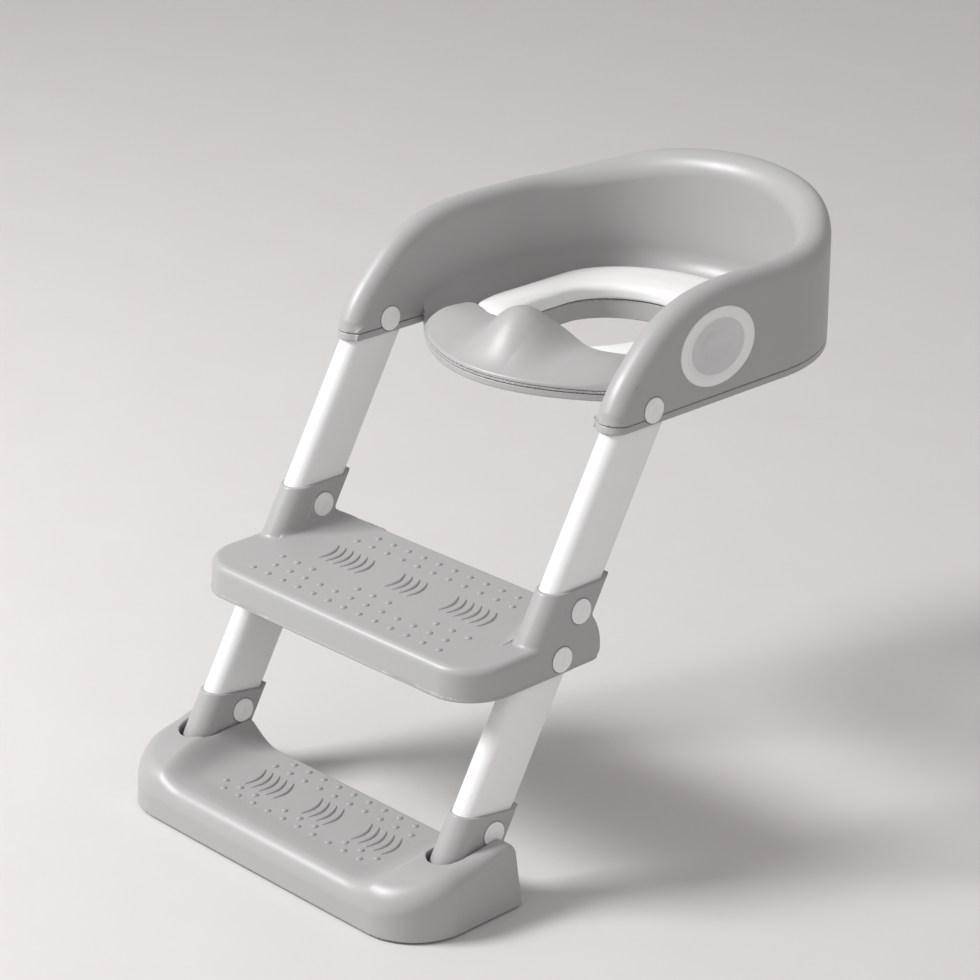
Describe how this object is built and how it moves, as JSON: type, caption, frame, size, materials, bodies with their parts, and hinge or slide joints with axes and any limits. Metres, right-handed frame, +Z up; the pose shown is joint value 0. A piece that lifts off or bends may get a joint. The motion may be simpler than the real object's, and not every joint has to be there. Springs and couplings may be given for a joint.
{
  "type": "potty training chair",
  "caption": "Toddler toilet seat with arms, backrest, soft pad and splash guard, hinged on a white-legged ladder with a middle step and a foot step.",
  "frame": {"origin": "on the floor, in the middle of the footprint of the whole chair", "axes": "+Z up, -Y is the side the child climbs up from, +X to the child's left as they sit"},
  "size_m": [0.4, 0.632, 0.5167],
  "materials": {
    "grey_plastic": "satin",
    "white_plastic": "gloss",
    "pad_foam": "soft satin",
    "dark_nylon": "matte",
    "steel": "satin",
    "rubber": "matte"
  },
  "bodies": {
    "seat": {"seat_shell": "grey_plastic", "seat_bottom_plate": "grey_plastic", "splash_guard": "grey_plastic", "seat_pad": "pad_foam", "pad_pegs": "pad_foam", "seat_screws": "steel", "seat_grip_pads": "rubber", "seat_pin_caps": "white_plastic", "badge_ring_left": "white_plastic", "badge_ring_right": "white_plastic", "badge_dish_left": "white_plastic", "badge_dish_right": "white_plastic", "hinge_bolt_left": "steel", "hinge_bolt_right": "steel"},
    "ladder": {"upper_knuckle_left": "dark_nylon", "upper_knuckle_right": "dark_nylon", "hinge_bush_left": "dark_nylon", "hinge_bush_right": "dark_nylon", "hinge_washers": "dark_nylon", "upper_tube_left": "white_plastic", "upper_tube_right": "white_plastic", "middle_step": "grey_plastic", "ladder_bolts": "steel", "ladder_pin_caps": "white_plastic", "lower_tube_left": "white_plastic", "lower_tube_right": "white_plastic", "foot_sleeve_left": "grey_plastic", "foot_sleeve_right": "grey_plastic"},
    "foot_step": {"foot_step": "grey_plastic", "foot_pads": "rubber", "foot_pivot_pins": "steel"}
  },
  "joints": [
    {"name": "ladder_fold", "type": "hinge", "parent": "seat", "child": "ladder", "pos_m": [0, -0.016, 0.3982], "axis": [1, 0, 0], "range_deg": [0, 92]},
    {"name": "foot_step_rock", "type": "hinge", "parent": "ladder", "child": "foot_step", "pos_m": [0, -0.21956, 0.0374], "axis": [1, 0, 0], "range_deg": [-6, 6]}
  ]
}
